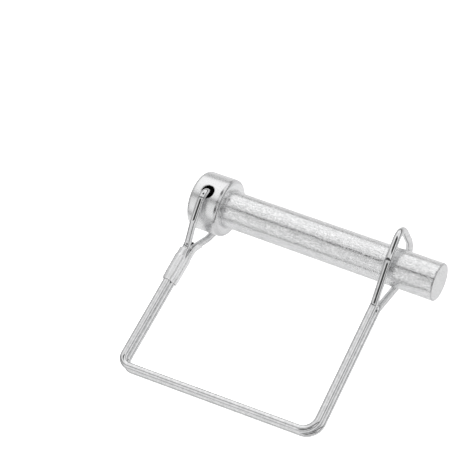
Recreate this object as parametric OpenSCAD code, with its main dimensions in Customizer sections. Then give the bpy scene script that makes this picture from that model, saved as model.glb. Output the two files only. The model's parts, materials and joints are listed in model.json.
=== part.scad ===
// Square bail locking pin for hitches: a headed pin with a two-strand spring
// wire bail. The bail pivots in a cross hole in the head, and its closed loop
// snaps over the far end of the shank.
// X runs along the pin from the head to the tip, with the origin at the centre
// of the head's shoulder. Z runs along the cross hole, and the bail lies
// towards -Y.

/* [Pin] */
// Diameter of the shank
shank_d = 12.7; // [12:0.1:12.9]
// Length of the shank from the shoulder to the tip
shank_len = 77; // [74:0.5:90]
// Chamfer round the tip
tip_chamfer = 0.5; // [0.2:0.1:1]
// Diameter of the seat by which the shank is pressed into the head
seat_d = 13.2; // [13:0.1:14]
// Depth of the seat, from the shoulder into the head
seat_depth = 1; // [0.5:0.1:1.5]

/* [Head] */
// Diameter of the head collar
head_d = 20; // [18:0.1:20.4]
// Length of the head collar
head_len = 11.9; // [11:0.1:14]
// Edge rounding of the head collar
head_round = 1.5; // [0.5:0.1:2]
// Diameter of the shank's spigot inside the collar
spigot_d = 9.5; // [8:0.1:11]
// How far the spigot's end lies below the collar's end face
spigot_recess = 0.4; // [0.2:0.1:1]
// Diameter of the cross hole
hole_d = 4.5; // [4:0.1:5]
// Distance of the cross hole from the shoulder
hole_back = 5.9; // [5.5:0.1:6.5]

/* [Bail] */
// Diameter of the spring wire
wire_d = 2.5; // [2.2:0.05:2.6]
// Depth of the bail, from the pin's axis to the middle of the bottom run
bail_depth = 61.7; // [55:0.1:75]
// Position of the far leg along the pin
far_leg_x = 61; // [58:0.5:62]
// Position of the near leg's lower corner along the pin
near_corner_x = -9.75; // [-12:0.05:-8]
// How much lower the near corner lies than the far corner
bottom_drop = 2.6; // [0:0.1:3]
// Bend radius of the near corner
near_bend = 3.2; // [3:0.1:6]
// Bend radius of the far corner
far_bend = 5.2; // [4:0.1:8]
// Gap between the two halves of the bottom run, where the bail flexes
flex_gap = 0.5; // [0.5:0.05:1]

/* [Ferrule] */
// Length of the crimped sleeve
ferrule_len = 12; // [10:0.5:16]
// Wall of the crimped sleeve
ferrule_wall = 0.55; // [0.4:0.05:0.8]
// Thickness of the pinched web between the sleeve's two lobes
ferrule_web = 2.6; // [2:0.1:3]

/* [Hidden] */
$fn = 48;

// Facets of the bent wire: sides round it, degrees of bend for each ring, and
// how far the facets lie inside the pivot ends
wire_sides = 16;
bend_step = 12;
wire_skin = 0.01;

// The strands lie side by side, touching along their length. Each one is
// shifted from the middle of the pair by this much: plus for the front strand,
// minus for the rear strand.
strand_shift = [-0.39, 0.22, 1.25] * wire_d / 2.5;

// Corners of the pair of strands, on the middle line between the two
ferrule_end = [-7.5, -17.3, 0];
near_corner = [near_corner_x, -bail_depth - bottom_drop / 2, 0];
far_corner = [far_leg_x, -bail_depth + bottom_drop / 2, 0];
loop_end = [far_leg_x + 0.1, -14.8, 0];

// The wire's ends lie along the cross hole and bend over its rim
hook_end_z = 3;
hook_top_z = 12.9;
hook_bend = 2.6;
pivot_len = 5.6;
shoulder_point = [-6.7, -10.4, 7.6];
shoulder_bend = 6;
ferrule_bend = 4;

// The sleeve starts just past the bend where the strands come together
sleeve_start = 1.85;
sleeve_clearance = 0.02;

// The loop round the shank, front strand first
loop_front_low = [far_leg_x + 0.6, -1.3, 9.15];
loop_front_top = [far_leg_x - 0.5, 10.9, 8.8];
loop_back_top = [far_leg_x - 0.6, 11, -9];
loop_back_low = [far_leg_x + 0.2, -2.2, -9.9];
loop_bends = [7, 5.5, 6.5, 5];
loop_start_bend = 4.5;

// The bottom run is cut in its middle, a little way each side of the flex axis
flex_axis = (near_corner + far_corner) / 2;
run_dir = unit(far_corner - near_corner);

// Points that one strand passes from the cross hole to the cut, side 1 or -1
function near_strand(side) = [
    [-hole_back, 0, side * (hook_end_z + 1)],
    [-hole_back, 0, side * hook_top_z],
    [shoulder_point.x, shoulder_point.y, side * shoulder_point.z],
    ferrule_end + side * strand_shift,
    near_corner + side * strand_shift,
    flex_axis - run_dir * flex_gap / 2 + side * strand_shift
];
near_bends = [hook_bend, shoulder_bend, ferrule_bend, near_bend];

// Points that one strand passes from the cut to the foot of the loop
function far_strand(side) = [
    flex_axis + run_dir * flex_gap / 2 + side * strand_shift,
    far_corner + side * strand_shift,
    loop_end + side * strand_shift
];

function unit(v) = v / norm(v);
function reversed(list) = [for (i = [len(list) - 1:-1:0]) list[i]];

// Angle by which the wire turns at point b on its way from a to c
function turn(a, b, c) = acos(unit(b - a) * unit(c - b));

// Points on the bend of radius r at b, on the way from a to c
function bend_points(a, b, c, r) =
    let (
        angle = turn(a, b, c),
        u = unit(b - a),
        w = unit(c - b),
        inward = unit(w - u * (w * u)),
        start = b - u * r * tan(angle / 2),
        steps = ceil(angle / bend_step)
    )
    [for (k = [0:steps])
        let (t = angle * k / steps)
        start + inward * r * (1 - cos(t)) + u * r * sin(t)];

// The wire's middle line: straight legs between bends, one radius for each inner point
function middle_line(points, bends) = concat(
    [points[0]],
    [for (i = [1:len(points) - 2])
        each bend_points(points[i - 1], points[i], points[i + 1], bends[i - 1])],
    [points[len(points) - 1]]
);

// Direction of the line at each of its points
function directions(line) = [for (i = [0:len(line) - 1])
    i == 0 ? unit(line[1] - line[0])
    : i == len(line) - 1 ? unit(line[i] - line[i - 1])
    : unit(unit(line[i + 1] - line[i]) + unit(line[i] - line[i - 1]))];

// A side direction at each point, carried along the line with no twist
function sides(dirs, i, side) =
    i == len(dirs) ? []
    : let (next = unit(side - dirs[i] * (side * dirs[i])))
      concat([next], sides(dirs, i + 1, next));

// A round wire along its middle line, as one closed tube
module tube(line, r) {
    n = wire_sides;
    last = len(line) - 1;
    dirs = directions(line);
    side = sides(dirs, 0, abs(dirs[0].z) < 0.9 ? [0, 0, 1] : [1, 0, 0]);
    rim = [for (i = [0:last]) for (k = [0:n - 1])
        line[i] + r * (side[i] * cos(360 * k / n) + cross(dirs[i], side[i]) * sin(360 * k / n))];
    walls = [for (i = [0:last - 1]) for (k = [0:n - 1])
        let (here = i * n, next = here + n, k2 = (k + 1) % n)
        each [[here + k, next + k2, here + k2], [here + k, next + k, next + k2]]];
    caps = [
        [for (k = [0:n - 1]) k],
        [for (k = [n - 1:-1:0]) last * n + k]
    ];
    polyhedron(points = rim, faces = concat(walls, caps));
}

module bent_wire(points, bends) {
    tube(middle_line(points, bends), wire_d / 2 - wire_skin);
}

// Moves its children so that their X lies along u and their Y along v
module framed(origin, u, v) {
    w = cross(u, v);
    multmatrix([
        [u.x, v.x, w.x, origin.x],
        [u.y, v.y, w.y, origin.y],
        [u.z, v.z, w.z, origin.z],
        [0, 0, 0, 1]
    ]) children();
}

// Points of a quarter circle of radius r round the centre, from angle a
function quarter(centre, r, a, steps = 6) =
    [for (i = [0:steps]) centre + r * [cos(a + 90 * i / steps), sin(a + 90 * i / steps)]];

// Turns a profile of radius against distance behind the shoulder round the X axis
module turned_back() {
    rotate([0, -90, 0]) rotate_extrude() children();
}

module cross_hole() {
    translate([-hole_back, 0, 0]) cylinder(d = hole_d, h = head_d + 2, center = true);
}

module shank() {
    r = shank_d / 2;
    spigot_len = head_len - spigot_recess;
    color("gainsboro") difference() {
        rotate([0, 90, 0]) rotate_extrude() polygon([
            [0, -spigot_len],
            [spigot_d / 2 - tip_chamfer, -spigot_len],
            [spigot_d / 2, -spigot_len + tip_chamfer],
            [spigot_d / 2, -seat_depth],
            [seat_d / 2, -seat_depth],
            [seat_d / 2, 0],
            [r, 0],
            [r, shank_len - tip_chamfer],
            [r - tip_chamfer, shank_len],
            [0, shank_len]
        ]);
        cross_hole();
    }
}

module head_collar() {
    r = head_d / 2;
    color("silver") difference() {
        turned_back() polygon(concat(
            [[spigot_d / 2, seat_depth], [seat_d / 2, seat_depth], [seat_d / 2, 0]],
            quarter([r - head_round, head_round], head_round, -90),
            quarter([r - head_round, head_len - head_round], head_round, 0),
            [[spigot_d / 2, head_len]]
        ));
        cross_hole();
    }
}

// The pivot end of a strand is a true round pin in the cross hole
module pivot_end(side) {
    translate([-hole_back, 0, side > 0 ? hook_end_z : -hook_end_z - pivot_len])
        cylinder(d = wire_d, h = pivot_len);
}

module bail_wire_near() {
    color("lightgray") for (side = [1, -1]) {
        bent_wire(near_strand(side), near_bends);
        pivot_end(side);
    }
}

module bail_wire_far() {
    color("lightgray") bent_wire(
        concat(far_strand(1), [loop_front_low, loop_front_top, loop_back_top, loop_back_low],
            reversed(far_strand(-1))),
        concat([far_bend, loop_start_bend], loop_bends, [loop_start_bend, far_bend]));
}

// Outline of the sleeve across the strands: two lobes joined by a web
module sleeve_outline(reach, lobe_d, web) {
    for (side = [-1, 1]) translate([side * reach, 0]) circle(d = lobe_d);
    square([2 * reach, web], center = true);
}

module ferrule() {
    along = unit(near_corner - ferrule_end);
    apart = strand_shift - along * (strand_shift * along);
    reach = norm(apart);
    across = apart / reach;
    color("silver") framed(ferrule_end + along * sleeve_start, across, cross(along, across))
        linear_extrude(ferrule_len) difference() {
            sleeve_outline(reach, wire_d + 2 * ferrule_wall, ferrule_web);
            for (side = [-1, 1])
                translate([side * reach, 0]) circle(d = wire_d + 2 * sleeve_clearance);
        }
}

shank();
head_collar();
bail_wire_near();
bail_wire_far();
ferrule();
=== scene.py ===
"""Looks of the square bail locking pin: its pieces as fine meshes with zinc and spring wire finishes.

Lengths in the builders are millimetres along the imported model's own axes, X from the head to the tip and Z
along the cross hole. finish_piece() turns them into metres.
"""

import json
import math

import bmesh
import bpy
import numpy as np
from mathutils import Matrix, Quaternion, Vector, noise


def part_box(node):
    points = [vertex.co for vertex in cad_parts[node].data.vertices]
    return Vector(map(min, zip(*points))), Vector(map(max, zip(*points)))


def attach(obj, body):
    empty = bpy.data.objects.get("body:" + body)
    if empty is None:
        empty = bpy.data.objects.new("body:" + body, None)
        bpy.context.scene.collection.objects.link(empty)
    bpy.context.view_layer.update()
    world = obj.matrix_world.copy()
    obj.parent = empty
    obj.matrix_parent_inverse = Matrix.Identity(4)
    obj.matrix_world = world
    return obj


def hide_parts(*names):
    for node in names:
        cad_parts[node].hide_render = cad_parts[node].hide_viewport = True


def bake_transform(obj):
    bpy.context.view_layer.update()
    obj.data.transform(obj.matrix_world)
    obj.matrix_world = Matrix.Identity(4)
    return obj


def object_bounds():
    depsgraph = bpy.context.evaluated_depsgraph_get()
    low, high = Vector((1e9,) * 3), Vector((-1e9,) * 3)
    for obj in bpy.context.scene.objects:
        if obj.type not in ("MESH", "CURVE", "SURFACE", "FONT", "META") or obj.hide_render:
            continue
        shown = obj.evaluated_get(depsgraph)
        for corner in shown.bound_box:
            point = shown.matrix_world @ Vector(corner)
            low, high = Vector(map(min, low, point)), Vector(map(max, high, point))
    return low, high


MM = 0.001

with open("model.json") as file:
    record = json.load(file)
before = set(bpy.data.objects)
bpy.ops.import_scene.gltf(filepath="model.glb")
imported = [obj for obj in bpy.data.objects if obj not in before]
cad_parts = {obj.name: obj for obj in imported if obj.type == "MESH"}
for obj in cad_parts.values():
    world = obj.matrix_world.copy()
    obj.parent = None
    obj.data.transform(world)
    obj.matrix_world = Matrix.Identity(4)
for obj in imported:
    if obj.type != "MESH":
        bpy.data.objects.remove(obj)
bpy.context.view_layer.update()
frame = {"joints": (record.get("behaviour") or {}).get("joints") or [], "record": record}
record = frame["record"]


# ---------------------------------------------------------------- sizes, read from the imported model


def node_box(name):
    """Lowest and highest corner of a CAD node, in millimetres."""
    low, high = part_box(name)
    return np.array(low) / MM, np.array(high) / MM


def joint_place(name):
    """Where a joint is, in millimetres."""
    found = [j for j in frame["joints"] if j["name"] == name][0]
    return np.array(found["pos_m"]) / MM


shank_low, shank_high = node_box("shank")
head_low, head_high = node_box("head_collar")
SHANK_R = [m for m in record["mounts"] if m["name"] == "shank"][0]["dims"]["r_mm"]
TIP_X = shank_high[0]
SEAT_R = shank_high[1]
SPIGOT_X = shank_low[0]
HEAD_R = head_high[1]
HEAD_X = head_low[0]
HOLE_X = joint_place("bail_swing")[0]
FLEX = joint_place("bail_flex")

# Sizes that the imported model's boxes don't give, as part.scad has them
SPIGOT_R = 4.75
SEAT_DEPTH = 1.0
HOLE_R = 2.25
HEAD_ROUND = 1.5
TIP_CHAMFER = 0.5
WIRE_R = 1.25

# How far the rod's skin stays inside the collar's, so that the two never share a surface
SKIN_GAP = 0.01
# Round over the cross hole's rim in the collar
RIM_FILLET = 0.35
# Points round each turned ring, and round the wire
TURNS = 120
WIRE_AROUND = 36

# Values of the attribute that smooths the plating and greys in a painted dark reflection: 0 is as plated, 1
# is smoothest with the most painted reflection, and below 0 is only rougher
RIM_SMOOTHING_AND_PAINTED_REFLECTION = 1.0
SHOULDER_SMOOTHING_AND_PAINTED_REFLECTION = 0.7
ROUGH_FACE = -4.0


# ---------------------------------------------------------------- mesh helpers


class Shell:
    """Points in millimetres and faces of one piece while it is being built."""

    def __init__(self):
        self.points = []
        self.faces = []

    def ring(self, points):
        """Adds points, and returns their numbers in order."""
        first = len(self.points)
        self.points.extend(tuple(float(c) for c in p) for p in points)
        return list(range(first, len(self.points)))

    def join(self, a, b):
        """Quads between two closed rings with the same number of points."""
        n = len(a)
        for k in range(n):
            self.faces.append((a[k], a[(k + 1) % n], b[(k + 1) % n], b[k]))

    def join_all(self, rings):
        for a, b in zip(rings, rings[1:]):
            self.join(a, b)

    def close(self, ring, centre):
        """A fan from a closed ring to one middle point."""
        middle = self.ring([centre])[0]
        n = len(ring)
        for k in range(n):
            self.faces.append((ring[k], ring[(k + 1) % n], middle))


def finish_piece(name, shell, crease_deg=50, attributes=None):
    """Makes the Blender object from a shell. Faces point outwards and shade smoothly up to crease_deg."""
    mesh = bpy.data.meshes.new(name)
    mesh.from_pydata([[c * MM for c in p] for p in shell.points], [], shell.faces)
    work = bmesh.new()
    work.from_mesh(mesh)
    bmesh.ops.recalc_face_normals(work, faces=work.faces)
    work.to_mesh(mesh)
    work.free()
    mesh.shade_smooth()
    mesh.set_sharp_from_angle(angle=math.radians(crease_deg))
    for key, values in (attributes or {}).items():
        layer = mesh.attributes.new(key, "FLOAT", "POINT")
        layer.data.foreach_set("value", np.array(values, np.float32))
    piece = bpy.data.objects.new(name, mesh)
    bpy.context.scene.collection.objects.link(piece)
    return piece


def painted_bore_shade(shell):
    """1 at points on the wall of the cross hole, 0 elsewhere, so that the finish can paint shade into the
    hole.
    """
    # the wall reaches this far past the hole's radius, and starts this far under the collar's skin
    beside, below = 0.12, 0.28
    shade = []
    for x, y, z in shell.points:
        in_hole = math.hypot(x - HOLE_X, y) < HOLE_R + beside
        under_skin = math.hypot(y, z) < HEAD_R - below
        shade.append(1.0 if in_hole and under_skin else 0.0)
    return shade


def full_turn(count):
    """So many angles, evenly round a circle."""
    return [2 * math.pi * k / count for k in range(count)]


def arc(cx, cr, radius, start_deg, end_deg, steps):
    """Profile points (x, r) on an arc."""
    angles = [math.radians(start_deg + (end_deg - start_deg) * k / steps) for k in range(steps + 1)]
    return [(cx + radius * math.cos(a), cr + radius * math.sin(a)) for a in angles]


def on_cylinder(x, r, angle, side=1):
    """A point at distance r from the X axis. Angle 0 is +Z for side 1 and -Z for side -1."""
    return (x, r * math.sin(angle), side * r * math.cos(angle))


def lathe_ring(shell, x, r, bump=None):
    """One ring of points about X, moved in or out by bump(x, angle)."""
    return shell.ring([on_cylinder(x, r + (bump(x, a) if bump else 0), a) for a in full_turn(TURNS)])


def grain(x, angle, r, stretch, seed):
    """Smooth noise on a cylinder's surface, drawn out along X by the stretch, from about -1 to 1."""
    p = Vector((x / stretch, r * math.sin(angle) + seed, r * math.cos(angle)))
    return noise.fractal(p, 0.8, 2.1, 4, noise_basis="PERLIN_ORIGINAL")


class PiercedWall:
    """A round wall about X from one end to the other, with a round hole through it along Z on both sides.

    The grid stops at a patch around each hole, and rings lead from the patch's edge to the hole's rim. The
    patch reaches patch_half along X both ways, in patch_rows rows, and so many grid columns both ways round.
    """

    RIM_STEPS = 7
    FILLET_STEPS = 5
    # above 1, the patch's rings gather near the rim
    GATHER = 1.4

    def __init__(self, shell, radius, ends, patch_half, patch_rows, columns, fillet=0.0, bump=None):
        self.radius = radius
        self.columns = columns
        self.fillet = fillet
        patch = np.linspace(HOLE_X - patch_half, HOLE_X + patch_half, patch_rows)
        self.rows = [ends[0], *patch, ends[1]]
        self.span = (1, patch_rows)
        self.rings = [lathe_ring(shell, x, radius, bump) for x in self.rows]
        skipped = set()
        for j in range(-columns, columns):
            skipped.add(j % TURNS)
            skipped.add((TURNS // 2 - j - 1) % TURNS)
        first, last = self.span
        for i, (a, b) in enumerate(zip(self.rings, self.rings[1:])):
            for k in range(TURNS):
                if first <= i < last and k in skipped:
                    continue
                shell.faces.append((a[k], a[(k + 1) % TURNS], b[(k + 1) % TURNS], b[k]))
        self.rims = {side: self.patch(shell, side) for side in (1, -1)}

    def patch(self, shell, side):
        """Rings from the patch's edge to the rim of one hole. Returns the rim's points and their angles."""
        first, last = self.span
        left, right = -self.columns, self.columns
        edge = [(i, left) for i in range(first, last)]
        edge += [(last, j) for j in range(left, right)]
        edge += [(i, right) for i in range(last, first, -1)]
        edge += [(first, j) for j in range(right, left, -1)]
        column = (lambda j: j % TURNS) if side > 0 else (lambda j: (TURNS // 2 - j) % TURNS)
        previous = [self.rings[i][column(j)] for i, j in edge]
        flat = [(self.rows[i] - HOLE_X, self.radius * 2 * math.pi * j / TURNS) for i, j in edge]
        around = [math.atan2(v, u) for u, v in flat]
        rim = [self.unrolled(HOLE_R + self.fillet, a) for a in around]
        for k in range(1, self.RIM_STEPS + 1):
            t = 1 - (1 - k / self.RIM_STEPS) ** self.GATHER
            ring = []
            for (u, v), (rim_u, rim_v) in zip(flat, rim):
                x = HOLE_X + u + (rim_u - u) * t
                angle = (v + (rim_v - v) * t) / self.radius
                ring.append(on_cylinder(x, self.radius, angle, side))
            current = shell.ring(ring)
            shell.join(previous, current)
            previous = current
        if self.fillet:
            for k in range(1, self.FILLET_STEPS + 1):
                tilt = math.pi / 2 * k / self.FILLET_STEPS
                r = HOLE_R + self.fillet * (1 - math.sin(tilt))
                depth = self.fillet * (1 - math.cos(tilt))
                current = shell.ring([self.sunk(r, a, depth, side) for a in around])
                shell.join(previous, current)
                previous = current
        return previous, around

    def unrolled(self, r, a):
        """A point of the hole's rim at angle a, on the wall rolled out flat."""
        return r * math.cos(a), self.radius * math.asin(r * math.sin(a) / self.radius)

    def sunk(self, r, a, depth, side):
        """A point at distance r from the hole's axis, this deep under the wall."""
        y = r * math.sin(a)
        return (HOLE_X + r * math.cos(a), y, side * (math.sqrt(self.radius**2 - y * y) - depth))


def bore(shell, outer, inner, steps):
    """The wall of the cross hole between two rims, each given as (points, angles)."""
    (ring_a, angles_a), (ring_b, angles_b) = outer, inner
    previous = ring_a
    for k in range(1, steps):
        t = k / steps
        ring = []
        for ia, ib, a, b in zip(ring_a, ring_b, angles_a, angles_b):
            turn = a + (b - a) * t
            z = shell.points[ia][2] * (1 - t) + shell.points[ib][2] * t
            ring.append((HOLE_X + HOLE_R * math.cos(turn), HOLE_R * math.sin(turn), z))
        current = shell.ring(ring)
        shell.join(previous, current)
        previous = current
    shell.join(previous, ring_b)


# ---------------------------------------------------------------- shank and head

# The patch round the cross hole in the spigot and in the collar's bore: its half width, rows and columns
INNER_PATCH = (3.1, 11, 12)
# The same for the patch in the collar's outside
OUTER_PATCH = (3.9, 19, 8)


def shank_bump(x, angle):
    """The bar's shallow lengthways unevenness under the plating. It fades out before the tip."""
    height, stretch, seed = 0.012, 6.0, 3.1
    fade = min(1.0, max(0.0, (TIP_X - 1.0 - x) / 2.0))
    return height * fade * grain(x, angle, SHANK_R, stretch, seed)


def tip_roughness_and_painted_reflection(x, y, z):
    """The tip's rounded rim is smoother and greyed by a painted dark reflection, and its flat face is rough.
    """
    if x < TIP_X - TIP_CHAMFER * 0.9:
        return 0.0
    return RIM_SMOOTHING_AND_PAINTED_REFLECTION if math.hypot(y, z) > SHANK_R - TIP_CHAMFER else ROUGH_FACE


def build_shank():
    """The rod, turned about X: spigot with the cross hole, pressed seat, shank and rounded tip."""
    shell = Shell()
    skin_r = SPIGOT_R - SKIN_GAP
    end_x, end_round, mark_depth = SPIGOT_X + 0.5, 0.45, 0.25
    spigot = PiercedWall(shell, skin_r, (end_x, -SEAT_DEPTH), *INNER_PATCH)
    bore(shell, spigot.rims[1], spigot.rims[-1], steps=10)

    # the spigot's end, with a shallow centre mark
    end = arc(SPIGOT_X + end_round, skin_r - end_round, end_round, 90, 180, 5)
    end += [(SPIGOT_X, r) for r in (3.4, 2.4, 1.5, 0.9)]
    end += [(SPIGOT_X + mark_depth, 0.35)]
    end_rings = [spigot.rings[0]] + [lathe_ring(shell, x, r) for x, r in end]
    shell.join_all(end_rings)
    shell.close(end_rings[-1], (SPIGOT_X + mark_depth + 0.05, 0, 0))

    # the pressed seat, and the shallow groove where the shank leaves the head
    groove, row_step = 0.14, 0.4
    seat = [(-SEAT_DEPTH, SEAT_R - SKIN_GAP), (-0.2, SEAT_R - SKIN_GAP), (-groove, SEAT_R - 0.05)]
    seat += [(-groove, SHANK_R + 0.02), (-groove * 0.5, SHANK_R - 0.03)]
    body = [(x, SHANK_R) for x in np.arange(0.25, TIP_X - TIP_CHAMFER - row_step / 2, row_step)]
    rounding = arc(TIP_X - TIP_CHAMFER, SHANK_R - TIP_CHAMFER, TIP_CHAMFER, 90, 0, 7)
    face_x = TIP_X - 0.01
    face = [(face_x, r) for r in (5.2, 4.3, 3.3, 2.2, 1.1)]
    rings = [spigot.rings[-1]]
    rings += [lathe_ring(shell, x, r) for x, r in seat]
    rings += [lathe_ring(shell, x, r, shank_bump) for x, r in body]
    rings += [lathe_ring(shell, x, r) for x, r in rounding + face]
    shell.join_all(rings)
    shell.close(rings[-1], (face_x, 0, 0))
    smoothing_and_painted_reflection = [tip_roughness_and_painted_reflection(*p) for p in shell.points]
    return finish_piece("shank_bar", shell, attributes={"bore": painted_bore_shade(shell), "smoothing_and_painted_reflection": smoothing_and_painted_reflection})


def head_bump(x, angle):
    """The collar's skin is nearly smooth."""
    height, stretch, seed = 0.006, 3.0, 8.4
    return height * grain(x, angle, HEAD_R, stretch, seed)


def build_head():
    """The collar, turned about X: its outside and bore, both pierced by the cross hole, and its two ends."""
    shell = Shell()
    back_round, seat_lip = 0.3, 0.08
    outer_ends = (HEAD_X + HEAD_ROUND, -HEAD_ROUND)
    outer = PiercedWall(shell, HEAD_R, outer_ends, *OUTER_PATCH, fillet=RIM_FILLET, bump=head_bump)
    inner = PiercedWall(shell, SPIGOT_R, (HEAD_X + back_round + 0.1, -SEAT_DEPTH), *INNER_PATCH)
    for side in (1, -1):
        bore(shell, outer.rims[side], inner.rims[side], steps=6)

    edge_r = HEAD_R - HEAD_ROUND
    shoulder = arc(-HEAD_ROUND, edge_r, HEAD_ROUND, 90, 0, 9)[1:]
    shoulder += [(0, r) for r in (8.0, 7.4, SEAT_R + seat_lip)]
    shoulder += [(-seat_lip, SEAT_R), (-SEAT_DEPTH, SEAT_R)]
    rings = [outer.rings[-1]] + [lathe_ring(shell, x, r) for x, r in shoulder]
    rings.append(inner.rings[-1])
    shell.join_all(rings)

    back = arc(HEAD_X + HEAD_ROUND, edge_r, HEAD_ROUND, 90, 180, 9)[1:]
    back += [(HEAD_X, r) for r in (7.4, 6.2, SPIGOT_R + back_round)]
    back += arc(HEAD_X + back_round, SPIGOT_R + back_round, back_round, 180, 270, 4)[1:]
    rings = [outer.rings[0]] + [lathe_ring(shell, x, r) for x, r in back]
    rings.append(inner.rings[0])
    shell.join_all(rings)

    # the shoulder's rounding is smoother than the rest, and greyed by a painted dark reflection
    smoothing_and_painted_reflection = []
    for x, y, z in shell.points:
        on_rounding = math.hypot(y, z) > edge_r + 0.3 and x > -HEAD_ROUND * 0.95
        smoothing_and_painted_reflection.append(SHOULDER_SMOOTHING_AND_PAINTED_REFLECTION if on_rounding else 0.0)
    return finish_piece("head_ring", shell, attributes={"bore": painted_bore_shade(shell), "smoothing_and_painted_reflection": smoothing_and_painted_reflection})


# ---------------------------------------------------------------- bail wire

# The bail's corners, as part.scad has them. SHIFT is half the step from the rear strand to the front one.
SHIFT = np.array([-0.39, 0.22, 1.25])
BOTTOM_DROP = 2.6
NEAR_CORNER = np.array([-9.75, FLEX[1] - BOTTOM_DROP / 2, 0])
FAR_CORNER = np.array([61.0, FLEX[1] + BOTTOM_DROP / 2, 0])
FERRULE_END = np.array([-7.5, -17.3, 0])
LOOP_END = np.array([61.1, -14.8, 0])

# Each corner of the loop round the shank, with its bend radius
LOOP = [((61.6, -1.3, 9.15), 7), ((60.5, 10.9, 8.8), 5.5), ((60.4, 11.0, -9.0), 6.5), ((61.2, -2.2, -9.9), 5)]


def half_strand(side):
    """Corners of one strand from the cross hole to the foot of the loop, each with its bend radius."""
    return [
        ((HOLE_X, 0, side * 2.9), 0),
        ((HOLE_X, 0, side * 12.9), 2.6),
        ((-6.7, -10.4, side * 7.6), 6),
        (FERRULE_END + side * SHIFT, 4),
        (NEAR_CORNER + side * SHIFT, 3.2),
        (FAR_CORNER + side * SHIFT, 5.2),
        (LOOP_END + side * SHIFT, 4.5),
    ]


def unit(v):
    return v / np.linalg.norm(v)


def bend(a, b, c, radius, step_deg=4.0):
    """Points round the corner at b, on the way from a to c."""
    u, w = unit(b - a), unit(c - b)
    angle = math.acos(float(np.clip(u @ w, -1, 1)))
    inward = unit(w - u * (w @ u))
    start = b - u * radius * math.tan(angle / 2)
    steps = max(2, math.ceil(math.degrees(angle) / step_deg))
    turns = [angle * k / steps for k in range(steps + 1)]
    return [start + inward * radius * (1 - math.cos(t)) + u * radius * math.sin(t) for t in turns]


def middle_line(corners, longest=1.5):
    """The wire's middle line through rounded corners, with a point at least every longest millimetres."""
    places = [np.array(p, float) for p, _ in corners]
    line = [places[0]]
    for i in range(1, len(places) - 1):
        line += bend(places[i - 1], places[i], places[i + 1], corners[i][1])
    line.append(places[-1])
    filled = [line[0]]
    for a, b in zip(line, line[1:]):
        parts = max(1, math.ceil(np.linalg.norm(b - a) / longest))
        filled += [a + (b - a) * k / parts for k in range(1, parts + 1)]
    return filled


def carried_frames(line, first_side):
    """The line's direction and two side directions at each point, carried along with no twist."""
    n = len(line)
    frames, side = [], np.array(first_side, float)
    for i in range(n):
        ahead = line[min(i + 1, n - 1)] - line[max(i - 1, 0)]
        direction = unit(ahead)
        side = unit(side - direction * (side @ direction))
        frames.append((direction, side, np.cross(direction, side)))
    return frames


def build_wire():
    """The whole bail as one tube. For the finish, each point stores its distance along the wire and the sine
    of its angle round it.
    """
    line = middle_line(half_strand(1) + LOOP + half_strand(-1)[::-1])
    frames = carried_frames(line, (1, 0, 0))
    angles = full_turn(WIRE_AROUND)
    shell = Shell()
    rings, along, turn = [], [], []
    run = 0.0
    for i, (p, (_, s, t)) in enumerate(zip(line, frames)):
        run += np.linalg.norm(p - line[i - 1]) if i else 0
        rings.append(shell.ring([p + WIRE_R * (s * math.cos(a) + t * math.sin(a)) for a in angles]))
        along += [run] * WIRE_AROUND
        turn += [math.sin(a) for a in angles]
    shell.join_all(rings)

    # each cut end has a small chamfer and a flat face
    chamfer, face_share = 0.2, 0.8
    for ring, centre, direction, length in (
        (rings[0], line[0], -frames[0][0], 0.0),
        (rings[-1], line[-1], frames[-1][0], run),
    ):
        face = centre + direction * chamfer
        lip = shell.ring([face + (np.array(shell.points[v]) - centre) * face_share for v in ring])
        shell.join(ring, lip)
        shell.close(lip, face)
        along += [length] * (WIRE_AROUND + 1)
        turn += turn[:WIRE_AROUND] + [0.0]
    return finish_piece("bail_wire", shell, attributes={"along": along, "turn": turn})


# ---------------------------------------------------------------- crimped ferrule


def strand_at(line, y):
    """The point of a strand's middle line at a given Y, on its stretch beside the ferrule."""
    for a, b in zip(line, line[1:]):
        if a[1] >= y >= b[1] and a[1] > b[1]:
            return a + (b - a) * (a[1] - y) / (a[1] - b[1])
    return line[-1]


def smooth(low, high, value):
    """0 up to low, 1 from high on, and an even S between them."""
    t = min(1.0, max(0.0, (value - low) / (high - low)))
    return t * t * (3 - 2 * t)


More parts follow.
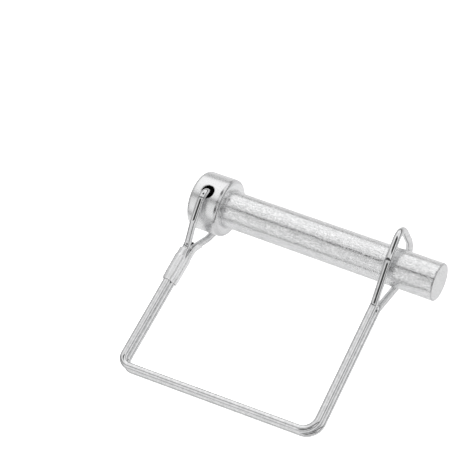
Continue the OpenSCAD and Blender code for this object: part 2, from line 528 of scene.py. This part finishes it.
def build_ferrule():
    """A short tube pressed round both strands. Its mouth slopes as the strands part, with a notch on one
    side.
    """
    front = middle_line(half_strand(1)[:5], 0.5)
    rear = middle_line(half_strand(-1)[:5], 0.5)
    front_mouth, rear_mouth, bottom = -19.0, -14.6, -31.0
    notch_depth, notch_angle, notch_width = 2.8, math.radians(285), math.radians(26)
    # below straight_y the strands run side by side, and the tube is fuller and its web is pinched in
    straight_y, step_length, pinch_length, foot_length = -21.5, 0.4, 3.0, 3.0
    mouth_r, fuller, foot_in = 1.56, 0.26, 0.14
    mouth_web, pinched = 1.22, 0.2
    sheet, sheet_spread = 0.27, 0.6
    corner_power = 12
    rows, around = 60, 120
    angles = full_turn(around)
    shell = Shell()

    def mouth(angle):
        """Y of the mouth's edge. Angle 0 is the front lobe's outer side, and 180 degrees the rear lobe's."""
        to_rear = smooth(0.5, 1.0, 0.5 - 0.5 * math.cos(angle))
        notch = math.exp(-(((angle - notch_angle) / notch_width) ** 2))
        return front_mouth + (rear_mouth - front_mouth) * to_rear - notch_depth * notch

    def skin_point(y, angle, lobe_r, web):
        """A point on the outline round both strands at one Y: two lobes and the pinched web between them."""
        a, b = strand_at(front, y), strand_at(rear, y)
        reach = np.linalg.norm(a - b) / 2
        across = unit(a - b)
        out = unit(np.cross(np.array([0.0, -1.0, 0.0]), across))
        c, s = math.cos(angle), math.sin(angle)
        lobe = 0
        if reach * abs(s) < lobe_r:
            lobe = reach * abs(c) + math.sqrt(max(1e-6, lobe_r**2 - (reach * s) ** 2))
        flat = min(web / max(abs(s), 1e-3), reach + lobe_r)
        r = min((lobe**corner_power + flat**corner_power) ** (1 / corner_power), reach + lobe_r)
        return (a + b) / 2 + (across * c + out * s) * r

    def skin(depth):
        """Rings from the mouth to the bottom, this deep under the outside."""
        rings = []
        for i in range(rows + 1):
            t = i / rows
            ring = []
            for angle in angles:
                y = mouth(angle) + (bottom - mouth(angle)) * t
                straight = smooth(-straight_y - step_length, -straight_y + step_length, -y)
                pinch = smooth(-straight_y, -straight_y + pinch_length, -y)
                foot = smooth(-bottom - foot_length, -bottom, -y)
                lobe = mouth_r + fuller * straight - foot_in * foot
                lobe -= depth * (1 + sheet_spread * straight)
                ring.append(skin_point(y, angle, lobe, mouth_web - pinched * pinch - depth))
            rings.append(shell.ring(ring))
        return rings

    outer = skin(0.0)
    inner_from = len(shell.points)
    inner = skin(sheet)
    shell.join_all(outer)
    shell.join_all(inner)
    shell.join(outer[0], inner[0])
    shell.join(outer[-1], inner[-1])
    # painted shade: the inner skin's points get bore value 1, which the finish paints nearly black
    inside = [1.0 if k >= inner_from else 0.0 for k in range(len(shell.points))]
    return finish_piece("crimped_ferrule", shell, attributes={"bore": inside})


# ---------------------------------------------------------------- materials


class Nodes:
    """Short names for the nodes of one material or world."""

    def __init__(self, owner):
        owner.use_nodes = True
        self.owner = owner
        self.tree = owner.node_tree
        self.tree.nodes.clear()

    def node(self, kind, **settings):
        made = self.tree.nodes.new(kind)
        for key, value in settings.items():
            setattr(made, key, value)
        return made

    def link(self, source, target):
        self.tree.links.new(source, target)

    def coordinates(self, scale):
        """Object coordinates in millimetres, each multiplied by its scale."""
        place = self.node("ShaderNodeTexCoord")
        mapping = self.node("ShaderNodeMapping")
        mapping.inputs["Scale"].default_value = [s / MM for s in scale]
        self.link(place.outputs["Object"], mapping.inputs["Vector"])
        return mapping.outputs[0]

    def attribute(self, name):
        """A number stored on the mesh, 0 where the mesh has none of that name."""
        return self.node("ShaderNodeAttribute", attribute_name=name).outputs["Fac"]

    def noise(self, vector, detail, roughness, distortion=0.0):
        made = self.node("ShaderNodeTexNoise")
        made.inputs["Scale"].default_value = 1.0
        made.inputs["Detail"].default_value = detail
        made.inputs["Roughness"].default_value = roughness
        made.inputs["Distortion"].default_value = distortion
        self.link(vector, made.inputs["Vector"])
        return made.outputs["Fac"]

    def ramp(self, value, stops):
        """A value remapped through (position, grey) stops."""
        made = self.node("ShaderNodeValToRGB")
        ramp = made.color_ramp
        for (position, grey), element in zip(stops[:2], ramp.elements):
            element.position, element.color = position, (grey, grey, grey, 1)
        for position, grey in stops[2:]:
            element = ramp.elements.new(position)
            element.color = (grey, grey, grey, 1)
        self.link(value, made.inputs[0])
        return made.outputs[0]

    def maths(self, operation, *values):
        made = self.node("ShaderNodeMath", operation=operation)
        for socket, value in zip(made.inputs, values):
            if isinstance(value, (int, float)):
                socket.default_value = value
            else:
                self.link(value, socket)
        return made.outputs[0]

    def tint(self, value, start, end):
        """The start colour, or another node's colour, turned into the end colour by a value from 0 to 1."""
        made = self.node("ShaderNodeMix", data_type="RGBA")
        if isinstance(start, tuple):
            made.inputs["A"].default_value = (*start, 1)
        else:
            self.link(start, made.inputs["A"])
        made.inputs["B"].default_value = (*end, 1)
        self.link(value, made.inputs["Factor"])
        return made.outputs["Result"]

    def bump(self, height, strength, distance_mm, under=None):
        made = self.node("ShaderNodeBump")
        made.inputs["Strength"].default_value = strength
        made.inputs["Distance"].default_value = distance_mm * MM
        self.link(height, made.inputs["Height"])
        if under is not None:
            self.link(under, made.inputs["Normal"])
        return made.outputs[0]


class SurfaceNodes(Nodes):
    """The nodes of one material, with its shader in place."""

    def __init__(self, name):
        super().__init__(bpy.data.materials.new(name))
        self.shader = self.node("ShaderNodeBsdfPrincipled")
        self.link(self.shader.outputs[0], self.node("ShaderNodeOutputMaterial").inputs[0])

    def metal(self, colour, roughness, normal):
        """Sets the shader up as metal, and returns the material."""
        self.link(colour, self.shader.inputs["Base Color"])
        self.link(roughness, self.shader.inputs["Roughness"])
        self.link(normal, self.shader.inputs["Normal"])
        self.shader.inputs["Metallic"].default_value = 1.0
        return self.owner


def zinc_material(name, dark, light, streak_length, streak_depth, pit_depth, rough, specks=0.0):
    """Zinc plating over steel: drawn streaks along X, small pits and a fine crystal mottle.

    The two depths are in millimetres, rough is the lowest and highest roughness, and specks is how strong the
    dark specks are. Points whose bore value is 1 are painted with shade, nearly black: the cross hole's wall
    and the ferrule's inside. Points whose smoothing value is above 0 are smoother and greyed by a painted
    dark reflection, and those below 0 only rougher.
    """
    # the first colour is painted shade for the hole and the ferrule's inside, the second the grey of a
    # painted dark reflection
    painted_hole_shade, painted_reflection_grey = (0.03, 0.03, 0.032), (0.42, 0.42, 0.43)
    streak_share, painted_reflection_share, smoothing = 0.45, 0.45, 0.4
    m = SurfaceNodes(name)
    streaks = m.noise(m.coordinates((0.22 / streak_length, 2.2, 2.2)), 5.0, 0.6, 0.3)
    mottle = m.noise(m.coordinates((1.3, 2.0, 2.0)), 6.0, 0.65)
    fine = m.noise(m.coordinates((2.6, 4.2, 4.2)), 3.0, 0.6)
    smoothing_and_painted_reflection = m.attribute("smoothing_and_painted_reflection")

    mottle_part = m.maths("MULTIPLY", mottle, 1 - streak_share)
    blend = m.ramp(m.maths("MULTIPLY_ADD", streaks, streak_share, mottle_part), [(0.32, 0.0), (0.62, 1.0)])
    speck = m.maths("MULTIPLY_ADD", m.ramp(fine, [(0.34, 0.0), (0.39, 1.0)]), specks, 1 - specks)
    plating = m.tint(m.maths("MULTIPLY", blend, speck), dark, light)
    # painted dark reflection: greyer where the smoothing value is above 0
    with_painted_reflection = m.tint(m.maths("MULTIPLY", smoothing_and_painted_reflection, painted_reflection_share), plating, painted_reflection_grey)
    # painted shade: nearly black where the bore value is 1
    colour = m.tint(m.attribute("bore"), with_painted_reflection, painted_hole_shade)

    as_plated = m.ramp(mottle, [(0.3, rough[0]), (0.7, rough[1])])
    roughness = m.maths("MULTIPLY", as_plated, m.maths("MULTIPLY_ADD", smoothing_and_painted_reflection, -smoothing, 1.0))

    pits = m.ramp(fine, [(0.28, 0.0), (0.5, 1.0)])
    normal = m.bump(pits, 1.0, pit_depth, m.bump(streaks, 1.0, streak_depth))
    return m.metal(colour, roughness, normal)


def wire_material():
    """Bright plated spring wire with faint drawing lines along its length."""
    dark, light = (0.66, 0.665, 0.67), (0.80, 0.80, 0.805)
    m = SurfaceNodes("spring_wire_plating")
    place = m.node("ShaderNodeCombineXYZ")
    m.link(m.maths("MULTIPLY", m.attribute("along"), 0.05), place.inputs[0])
    m.link(m.maths("MULTIPLY", m.attribute("turn"), 3.0), place.inputs[1])
    lines = m.noise(place.outputs[0], 2.0, 0.5)
    spots = m.noise(m.coordinates((0.9, 0.9, 0.9)), 2.0, 0.5)
    colour = m.tint(m.ramp(spots, [(0.3, 0.0), (0.65, 1.0)]), dark, light)
    roughness = m.ramp(lines, [(0.3, 0.035), (0.7, 0.06)])
    normal = m.bump(spots, 0.5, 0.002, m.bump(lines, 0.5, 0.0015))
    return m.metal(colour, roughness, normal)


# ---------------------------------------------------------------- the object

shank = build_shank()
head = build_head()
wire = build_wire()
ferrule = build_ferrule()

# bright but uneven bar, with dark specks in its plating
shank.data.materials.append(zinc_material(
    "shank_zinc", dark=(0.60, 0.605, 0.61), light=(0.96, 0.96, 0.965),
    streak_length=0.6, streak_depth=0.012, pit_depth=0.026, rough=(0.08, 0.18), specks=0.8))
# smooth satin collar
head.data.materials.append(zinc_material(
    "head_zinc", dark=(0.78, 0.785, 0.79), light=(0.90, 0.90, 0.905),
    streak_length=0.7, streak_depth=0.006, pit_depth=0.006, rough=(0.24, 0.32)))
# pale satin sheet
ferrule.data.materials.append(zinc_material(
    "ferrule_zinc", dark=(0.84, 0.845, 0.85), light=(0.97, 0.97, 0.975),
    streak_length=0.5, streak_depth=0.008, pit_depth=0.008, rough=(0.24, 0.36)))
wire.data.materials.append(wire_material())

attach(shank, "pin")
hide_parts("shank")

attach(head, "pin")
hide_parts("head_collar")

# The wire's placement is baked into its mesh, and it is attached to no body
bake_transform(wire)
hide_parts("bail_wire_near", "bail_wire_far")

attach(ferrule, "bail_near")
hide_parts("ferrule")


# ---------------------------------------------------------------- studio


def make_floor():
    """A white disc under the object. It glows white to the camera, and to the metal most of all close by."""
    radius, sides = 0.35, 96
    centre = (0.032, -0.028)
    white, camera_glow = 0.85, 0.9
    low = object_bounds()[0][2]
    mesh = bpy.data.meshes.new("floor")
    edge = [(radius * math.cos(a), radius * math.sin(a), 0) for a in full_turn(sides)]
    mesh.from_pydata(edge, [], [range(sides)])
    floor = bpy.data.objects.new("floor", mesh)
    floor.location = (*centre, low)
    bpy.context.scene.collection.objects.link(floor)

    m = SurfaceNodes("floor_white")
    m.shader.inputs["Base Color"].default_value = (white, white, white, 1)
    m.shader.inputs["Roughness"].default_value = 1.0
    m.shader.inputs["Specular IOR Level"].default_value = 0.0
    m.shader.inputs["Emission Color"].default_value = (1, 1, 1, 1)
    place = m.node("ShaderNodeTexCoord")
    away = m.node("ShaderNodeVectorMath", operation="LENGTH")
    m.link(place.outputs["Object"], away.inputs[0])
    near = m.node("ShaderNodeMapRange")
    for key, value in (("From Min", 0.06), ("From Max", 0.16), ("To Min", 0.34), ("To Max", 0.0)):
        near.inputs[key].default_value = value
    m.link(away.outputs["Value"], near.inputs["Value"])
    seen = m.node("ShaderNodeLightPath").outputs["Is Camera Ray"]
    m.link(m.maths("MULTIPLY_ADD", seen, camera_glow, near.outputs[0]), m.shader.inputs["Emission Strength"])
    mesh.materials.append(m.owner)


def make_world():
    """A white studio tent, brightest towards +Y, with a dark gap near its top, dimmer strips towards +X, two
    dark flags, and greyer walls towards -X and at the horizon. It gives the metal something to reflect.
    """
    strength = 1.14
    world = bpy.data.worlds.new("studio")
    bpy.context.scene.world = world
    m = Nodes(world)

    def profile(angle, stops):
        """Brightness along an angle, through (degrees, brightness) stops. The angle itself is in radians."""
        share = m.maths("ADD", m.maths("DIVIDE", angle, 2 * math.pi), 0.5)
        return m.ramp(share, [((degrees + 180) / 360, grey) for degrees, grey in stops])

    place = m.node("ShaderNodeTexCoord")
    split = m.node("ShaderNodeSeparateXYZ")
    m.link(place.outputs["Generated"], split.inputs[0])
    x, y, z = split.outputs

    # lean is 0 overhead and 90 at the horizon towards -Y, and side is 90 at the horizon towards +X
    lean = m.maths("ARCTAN2", m.maths("MULTIPLY", y, -1.0), z)
    side = m.maths("ARCTAN2", x, z)
    across = m.maths("ARCSINE", x)
    panels_y = profile(lean, [
        (-110, 0.8), (-90, 0.88), (-75, 0.97), (-37, 0.93), (-25, 0.89), (-12, 0.83), (4, 0.78),
        (7, 0.08), (15, 0.08), (19, 0.72), (38, 0.79), (60, 0.82), (80, 0.74), (95, 0.7)])
    panels_x = profile(side, [
        (-12, 1.0), (9, 0.95), (13, 0.6), (20, 0.6), (24, 0.95), (60, 1.0), (70, 0.9), (78, 0.3), (92, 0.3)])

    # the two flags, one on each side of the top
    flag_width = profile(across, [(-16, 0.0), (-9, 1.0), (39, 1.0), (46, 0.0)])
    flag_depth = profile(lean, [
        (-42, 0.0), (-36, 0.92), (-22, 0.92), (-19, 0.0), (24, 0.0), (33, 0.92), (50, 0.92), (56, 0.0)])
    flags = m.maths("SUBTRACT", 1.0, m.maths("MULTIPLY", flag_width, flag_depth))
    far_wall = profile(across, [(-90, 0.6), (-47, 0.6), (-36, 1.0)])
    horizon = profile(m.maths("ARCSINE", z), [(-1, 0.25), (4, 0.5), (9, 1.0)])

    brightness = m.maths("MULTIPLY", panels_y, panels_x)
    for part in (flags, far_wall, horizon):
        brightness = m.maths("MULTIPLY", brightness, part)

    # the camera itself sees plain white
    studio = m.node("ShaderNodeBackground")
    m.link(brightness, studio.inputs["Color"])
    studio.inputs["Strength"].default_value = strength
    backdrop = m.node("ShaderNodeBackground")
    backdrop.inputs["Color"].default_value = (1, 1, 1, 1)
    mix = m.node("ShaderNodeMixShader")
    m.link(m.node("ShaderNodeLightPath").outputs["Is Camera Ray"], mix.inputs[0])
    m.link(studio.outputs[0], mix.inputs[1])
    m.link(backdrop.outputs[0], mix.inputs[2])
    m.link(mix.outputs[0], m.node("ShaderNodeOutputWorld").inputs[0])


def area_light(name, place, target, size, power):
    """A round soft light that faces its target."""
    data = bpy.data.lights.new(name, "AREA")
    data.shape = "DISK"
    data.size = size
    data.energy = power
    light = bpy.data.objects.new(name, data)
    bpy.context.scene.collection.objects.link(light)
    light.location = place
    light.rotation_mode = "QUATERNION"
    light.rotation_quaternion = (Vector(target) - Vector(place)).to_track_quat("-Z", "Y")


def make_camera():
    """Looks down on the pin from its tip's side, from half a metre away with a long lens."""
    azimuth, elevation, roll = math.radians(57.78), math.radians(60.40), math.radians(-34.27)
    target, distance = Vector((6.6, -8.5, 0)) * MM, 531 * MM
    level = math.cos(elevation)
    back = Vector((math.sin(azimuth) * level, -math.cos(azimuth) * level, math.sin(elevation)))
    data = bpy.data.cameras.new("camera")
    data.sensor_width = 36
    data.lens = 121.5
    camera = bpy.data.objects.new("camera", data)
    bpy.context.scene.collection.objects.link(camera)
    camera.location = target + back * distance
    camera.rotation_mode = "QUATERNION"
    camera.rotation_quaternion = (-back).to_track_quat("-Z", "Y") @ Quaternion((0, 0, 1), roll)
    bpy.context.scene.camera = camera


make_floor()
make_world()
area_light("key", place=(-0.2, 0.5, 0.8), target=(0.03, -0.02, 0), size=0.5, power=0.05)
make_camera()
bpy.context.scene.view_settings.view_transform = "Standard"
